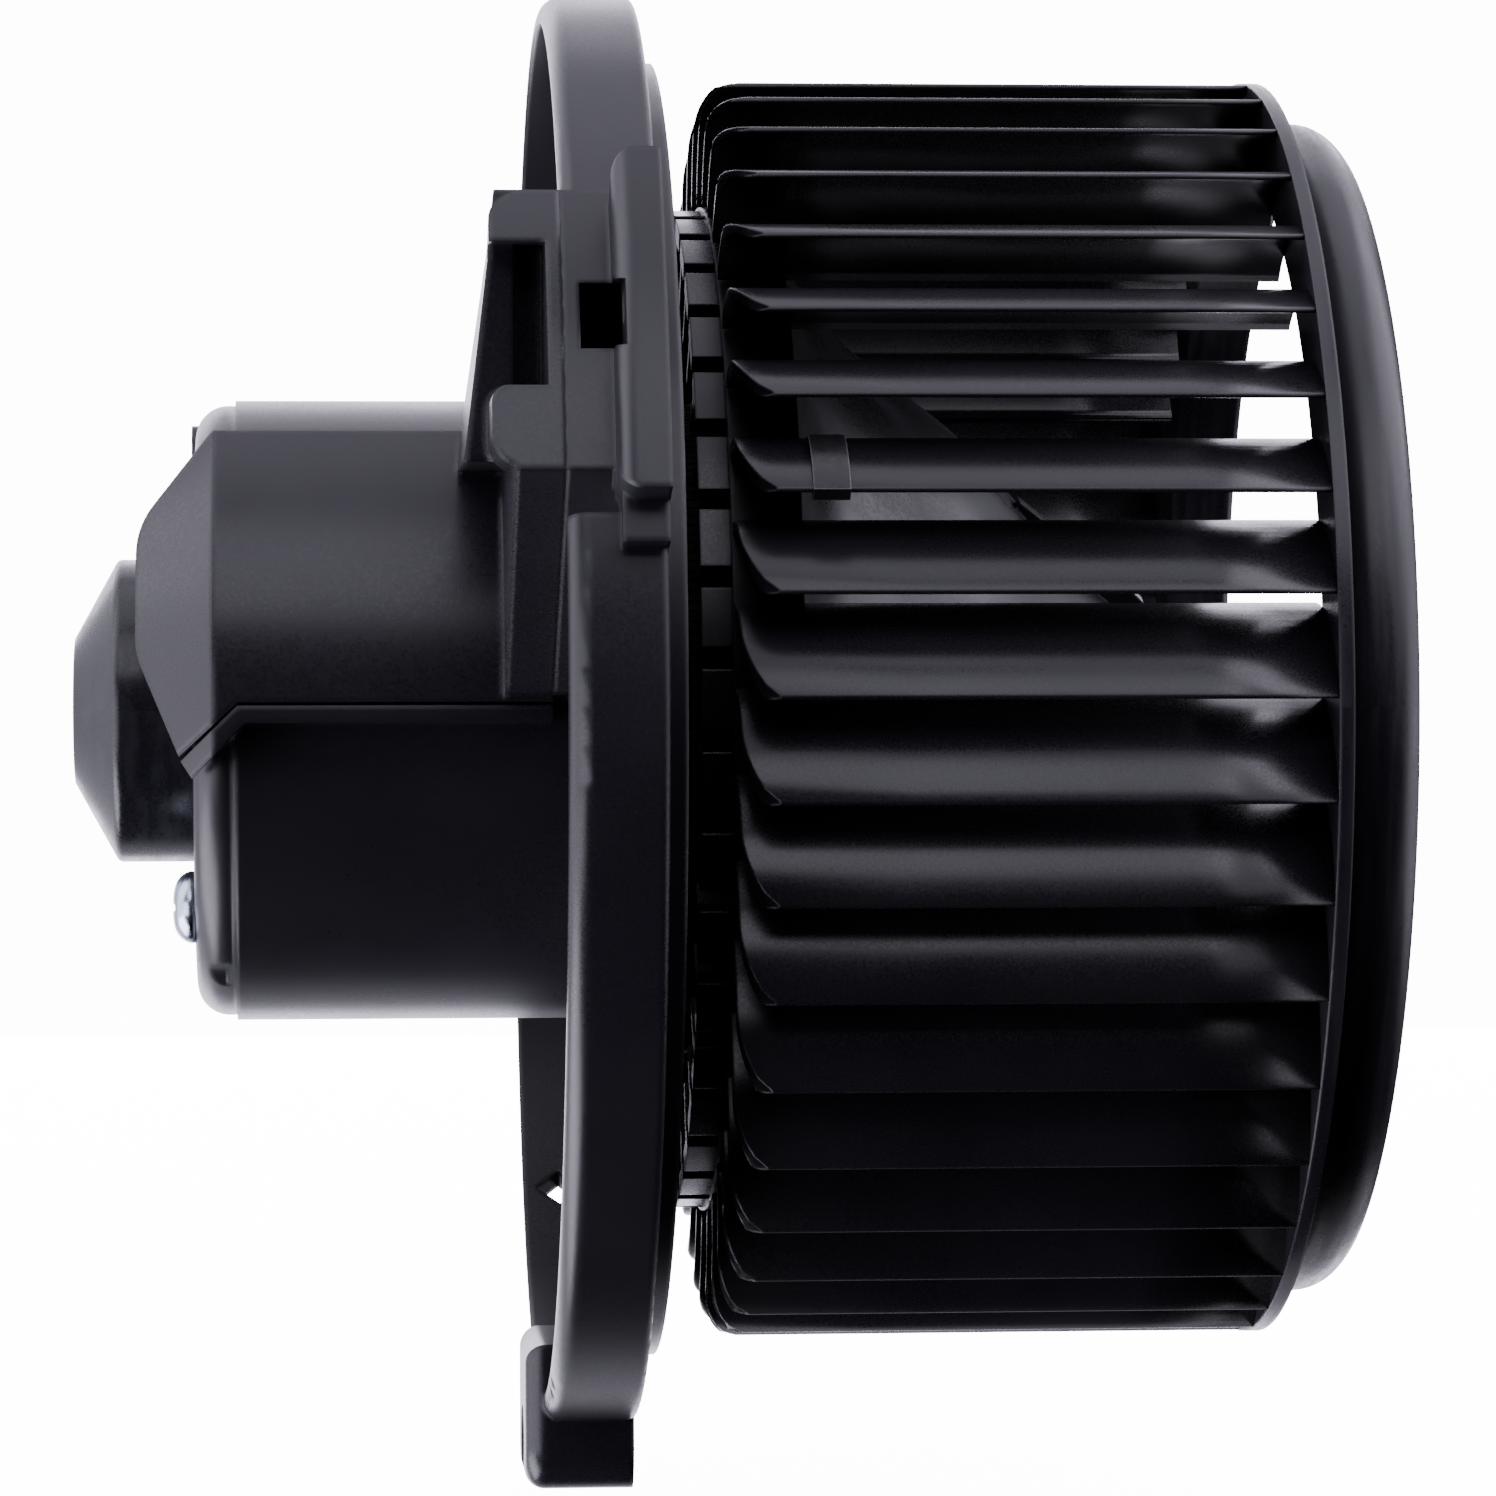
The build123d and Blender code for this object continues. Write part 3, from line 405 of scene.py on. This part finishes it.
# How far the flow marks are stretched round the shaft, out from it and along it
CAP_STREAKS = (2.5, 60.0, 500.0)
HUB_STREAKS = (9.0, 140.0, 60.0)
RING_STREAKS = (4.0, 60.0, 900.0)

MATERIALS = {
    "housing_plastic": moulded("housing_plastic", (0.0082, 0.0080, 0.0108), 0.33, soft=0.9),
    "cover_plastic": moulded("cover_plastic", (0.0086, 0.0084, 0.0114), 0.31, grain=2200.0, soft=1.1),
    "cap_plastic": moulded("cap_plastic", (0.0078, 0.0078, 0.0104), 0.31, soft=0.8, streaks=CAP_STREAKS),
    "wheel_plastic": moulded("wheel_plastic", (0.0068, 0.0066, 0.0088), 0.29, grain=3200.0, depth=0.003),
    "hub_plastic": moulded("hub_plastic", (0.0120, 0.0118, 0.0140), 0.32, soft=0.5, streaks=HUB_STREAKS),
    "ring_plastic": moulded("ring_plastic", (0.0084, 0.0082, 0.0108), 0.34, soft=0.5, streaks=RING_STREAKS),
    "socket_plastic": moulded("socket_plastic", (0.0120, 0.0120, 0.0136), 0.42, grain=1800.0),
    "isolator_rubber": ribbed_rubber("isolator_rubber"),
    "zinc_screw": zinc_plate("zinc_screw"),
    "can_steel": metal("can_steel", (0.52, 0.53, 0.54), 0.30, (0.30, 0.31, 0.33), drawn_lines),
    "ferrite": ferrite("ferrite"),
    "spring_steel": metal("spring_steel", (0.34, 0.34, 0.35), 0.30, (0.16, 0.14, 0.11), drawn_lines),
    "sintered_bronze": porous_bronze("sintered_bronze"),
    "card_plastic": phenolic("card_plastic"),
    "brass_guides": metal("brass_guides", (0.68, 0.50, 0.21), 0.30, (0.38, 0.24, 0.09), ground_lines),
    "carbon": graphite("carbon"),
    "copper_wire": enamelled_copper("copper_wire"),
    "copper_bars": metal("copper_bars", (0.70, 0.36, 0.20), 0.26, (0.36, 0.15, 0.08), turned_lines),
    "tinned_brass": metal("tinned_brass", (0.66, 0.66, 0.62), 0.28, (0.44, 0.43, 0.38), ground_lines),
    "ground_steel": metal("ground_steel", (0.60, 0.61, 0.62), 0.20, (0.42, 0.42, 0.42), turned_lines),
    "lamination_steel": laminations("lamination_steel"),
    "washer_nylon": nylon("washer_nylon"),
    "clip_steel": phosphated("clip_steel"),
}
SLOT_OF = {part["node"]: part["material_slot"] for part in frame["record"]["subparts"]}


def finish_cad_nodes():
    """Give each CAD node its slot's material."""
    for name, node in frame["nodes"].items():
        node.data.materials.clear()
        node.data.materials.append(MATERIALS[SLOT_OF[name]])


# ---------------------------------------------------------------- mesh helpers


def piece(name, vertices, faces, slot, body, *replaced):
    """A finished piece of the object, riding on its body and standing for its CAD nodes."""
    mesh = bpy.data.meshes.new(name)
    mesh.from_pydata([Vector(v) for v in vertices], [], faces)
    mesh.validate()
    mesh.polygons.foreach_set("use_smooth", [True] * len(mesh.polygons))
    mesh.materials.append(MATERIALS[slot])
    made = bpy.data.objects.new(name, mesh)
    bpy.context.scene.collection.objects.link(made)
    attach(made, body)
    if replaced:
        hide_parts(*replaced)
    return made


def turn(point, angle):
    """A point turned about the shaft."""
    x, y, z = point
    return (x, y * cos(angle) - z * sin(angle), y * sin(angle) + z * cos(angle))


def loft(loops, faces, first):
    """Skin between closed loops of equal length, capped at both ends; faces are added to the list."""
    count = len(loops[0])
    for k in range(len(loops) - 1):
        low = first + k * count
        high = low + count
        for i in range(count):
            j = (i + 1) % count
            faces.append((low + i, low + j, high + j, high + i))
    faces.append(tuple(range(first + count - 1, first - 1, -1)))
    last = first + (len(loops) - 1) * count
    faces.append(tuple(range(last, last + count)))


# ---------------------------------------------------------------- wheel blades


def blade_section(root_radius, tip_radius, inset):
    """Outline of one blade square to the shaft: two arcs, a round tip and a round inner edge."""
    root_y = tip_radius - TIP_GAP - BLADE_CURVE * sin(BLADE_LEAN)
    arc_steps, end_steps = 14, 6
    points = []

    def at(lean, offset):
        """A point at a lean round the curve and an offset from its mid line."""
        reach = BLADE_CURVE + offset
        return (root_y + reach * sin(lean), BLADE_CURVE - BLADE_RISE - reach * cos(lean))

    def half(lean):
        """Half the thickness, thinner towards the tip."""
        return BLADE_THICK / 2 * (1 - BLADE_TAPER * lean / BLADE_LEAN) - inset

    tip_half = half(BLADE_LEAN)
    end_lean = BLADE_LEAN + (TIP_GAP - tip_half - inset) / BLADE_CURVE * TIP_SHARE
    for i in range(arc_steps + 1):
        lean = end_lean * i / arc_steps
        points.append(at(lean, half(lean)))
    for i in range(1, end_steps):
        a = pi * i / end_steps
        points.append(at(end_lean + tip_half * sin(a) / BLADE_CURVE, tip_half * cos(a)))
    for i in range(arc_steps + 1):
        lean = end_lean * (1 - i / arc_steps)
        points.append(at(lean, -half(lean)))
    root_half = half(0.0)
    for i in range(end_steps + 1):
        a = pi * i / end_steps
        y = root_radius + root_half + inset - root_half * sin(a)
        points.append((y, -BLADE_RISE - root_half * cos(a)))
    return points


def wheel_blades():
    """Forty-one curved blades with rounded edges, rounded rear corners and welded front ends."""
    low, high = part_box("wheel_blades")
    tip_radius = high.z
    root_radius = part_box("wheel_ring")[1].z - BLADE_DEPTH
    full = blade_section(root_radius, tip_radius, 0.0)
    small = blade_section(root_radius, tip_radius, EDGE_ROUND)

    def rear(point):
        """Where the blade ends at the rear: square to the shaft, but round near the tip."""
        into = (sqrt(point[0] ** 2 + point[1] ** 2) - (tip_radius - BLADE_CORNER)) / BLADE_CORNER
        into = min(max(into, 0.0), 0.995)
        return low.x + CORNER_SHARE * BLADE_CORNER * (1 - sqrt(1 - into * into))

    def softened(share):
        """The outline part of the way from the small one to the full one."""
        return [tuple(a + (b - a) * share for a, b in zip(s, f)) for s, f in zip(small, full)]

    loops = []
    for step in range(4):
        a = radians(90) * step / 3
        outline = softened(sin(a))
        loops.append([(rear(p) + EDGE_ROUND * (1 - cos(a)), *q) for p, q in zip(full, outline)])
    for share in (0.25, 0.5, 0.75, 1.0):
        loops.append([(rear(p) + EDGE_ROUND + (high.x - rear(p) - EDGE_ROUND) * share, *p) for p in full])
    vertices, faces = [], []
    for number in range(BLADE_COUNT):
        angle = radians(BLADE_PHASE + 360.0 * number / BLADE_COUNT)
        first = len(vertices)
        vertices += [turn(v, angle) for loop in loops for v in loop]
        loft(loops, faces, first)
    return piece("blades", vertices, faces, "wheel_plastic", "rotor", "wheel_blades")


# ---------------------------------------------------------------- screws


def screw_head(middle_y, middle_z, top, seat, tip):
    """Loops of one pan-head screw along X: domed head with a tapered cross recess, and a round shank."""
    steps, rings = 72, 26
    angles = [2 * pi * i / steps for i in range(steps)]
    loops = []
    for k in range(1, rings + 1):
        share = k / rings
        bow = (seat - top) * (1 - sqrt(max(0.0, 1 - (share * DOME_SHARE) ** DOME_POWER)))
        loop = []
        for a in angles:
            y = REAR_HEAD_RADIUS * share * cos(a)
            z = REAR_HEAD_RADIUS * share * sin(a)
            across = min(abs(y), abs(z))
            along = max(abs(y), abs(z)) / (RECESS_REACH * REAR_HEAD_RADIUS)
            wall = min(max((RECESS_ARM * (1.25 - 0.5 * along) - across) / RECESS_WALL, 0.0), 1.0)
            end = min(max((1.0 - along) / RECESS_RAMP, 0.0), 1.0)
            loop.append((top + bow + RECESS_DEPTH * wall * end, y, z))
        loops.append(loop)
    rim = REAR_HEAD_RADIUS * RIM_SHARE
    shank = REAR_SHANK_RADIUS
    for x, r in ((seat, rim), (seat, NECK_RADIUS), (seat + NECK_LENGTH, shank), (tip, shank)):
        loops.append([(x, r * cos(a), r * sin(a)) for a in angles])
    return [[(x, y + middle_y, z + middle_z) for x, y, z in loop] for loop in loops]


def rear_screws():
    """The two zinc-plated screws in the cup's floor, opposite each other across the shaft."""
    low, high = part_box("rear_screws")
    seat = low.x + REAR_HEAD_HEIGHT
    spread_y = (high.y - low.y) / 2 - REAR_HEAD_RADIUS
    spread_z = (high.z - low.z) / 2 - REAR_HEAD_RADIUS
    vertices, faces = [], []
    for side in (1, -1):
        first = len(vertices)
        loops = screw_head(side * spread_y, side * spread_z, low.x, seat, high.x)
        vertices += [v for loop in loops for v in loop]
        loft(loops, faces, first)
    piece("rear_screw_heads", vertices, faces, "zinc_screw", "housing", "rear_screws")


# ---------------------------------------------------------------- brush springs


def coil_spring(name):
    """A wire spring behind one brush, with closed end coils."""
    low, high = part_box(name)
    middle = (low + high) / 2
    radius = (high.x - low.x) / 2 - SPRING_WIRE
    height = high.z - low.z - 2 * SPRING_WIRE
    steps, ring = 32 * SPRING_TURNS, 10
    loops = []
    for k in range(steps + 1):
        share = k / steps
        a = 2 * pi * SPRING_TURNS * share
        rise = share - SPRING_CLOSED * sin(2 * pi * share)
        out = Vector((cos(a), sin(a), 0.0))
        centre = middle + out * radius + Vector((0.0, 0.0, height * (rise - 0.5)))
        loop = []
        for i in range(ring):
            b = 2 * pi * i / ring
            loop.append(centre + SPRING_WIRE * (out * cos(b) + Vector((0.0, 0.0, sin(b)))))
        loops.append(loop)
    vertices = [v for loop in loops for v in loop]
    faces = []
    loft(loops, faces, 0)
    finished = name.replace("brush_spring", "spring_coil")
    made = piece(finished, vertices, faces, "spring_steel", "housing", name)
    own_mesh(made)


# ---------------------------------------------------------------- studio


def camera():
    """Nearly level camera beside the motor, turned a little towards the wheel."""
    yaw, pitch, roll = radians(CAMERA_YAW), radians(CAMERA_PITCH), radians(CAMERA_ROLL)
    forward = Vector((sin(yaw) * cos(pitch), cos(yaw) * cos(pitch), sin(pitch)))
    level = Vector((cos(yaw), -sin(yaw), 0.0))
    raised = level.cross(forward)
    right = level * cos(roll) + raised * sin(roll)
    up = raised * cos(roll) - level * sin(roll)
    data = bpy.data.cameras.new("camera")
    data.lens = CAMERA_LENS
    data.sensor_width = SENSOR_WIDTH
    data.clip_start = 0.05
    data.clip_end = 50.0
    made = bpy.data.objects.new("camera", data)
    made.matrix_world = Matrix((right, up, -forward)).transposed().to_4x4()
    made.location = CAMERA_PLACE
    bpy.context.scene.collection.objects.link(made)
    bpy.context.scene.camera = made


def panel(name, middle, direction, distance, width, height, power):
    """A soft rectangular light that faces the object and that the camera doesn't see."""
    data = bpy.data.lights.new(name, "AREA")
    data.shape = "RECTANGLE"
    data.size = width
    data.size_y = height
    data.energy = power
    data.color = LIGHT_COLOUR
    made = bpy.data.objects.new(name, data)
    away = Vector(direction).normalized()
    made.location = middle + away * distance
    made.rotation_mode = "QUATERNION"
    made.rotation_quaternion = away.to_track_quat("Z", "Y")
    made.visible_camera = False
    bpy.context.scene.collection.objects.link(made)


def studio():
    """White surround and floor for the camera alone, and soft panels on most sides."""
    middle = (CAD_LOW + CAD_HIGH) / 2
    world = bpy.data.worlds.new("studio")
    bpy.context.scene.world = world
    world.use_nodes = True
    world.node_tree.nodes["Background"].inputs["Color"].default_value = PURE_WHITE
    world.node_tree.nodes["Background"].inputs["Strength"].default_value = WHITE
    world.cycles_visibility.diffuse = False
    world.cycles_visibility.glossy = False

    mesh = bpy.data.meshes.new("floor")
    reach, z = FLOOR_REACH, CAD_LOW.z - FLOOR_GAP
    corners = [(-reach, -reach, z), (reach, -reach, z), (reach, reach, z), (-reach, reach, z)]
    mesh.from_pydata(corners, [], [(0, 1, 2, 3)])
    floor = bpy.data.objects.new("floor", mesh)
    pale = bpy.data.materials.new("pale_floor")
    pale.use_nodes = True
    shader = pale.node_tree.nodes["Principled BSDF"]
    shader.inputs["Base Color"].default_value = FLOOR_COLOUR
    shader.inputs["Roughness"].default_value = FLOOR_ROUGHNESS
    shader.inputs["Emission Color"].default_value = PURE_WHITE
    shader.inputs["Emission Strength"].default_value = WHITE
    mesh.materials.append(pale)
    bpy.context.scene.collection.objects.link(floor)
    floor.visible_diffuse = False
    floor.visible_glossy = False
    floor.visible_shadow = False

    for name, setup in PANELS.items():
        panel(name, middle, *setup)


camera()
finish_cad_nodes()
wheel_blades()
rear_screws()
coil_spring("brush_spring_top")
coil_spring("brush_spring_bottom")
studio()
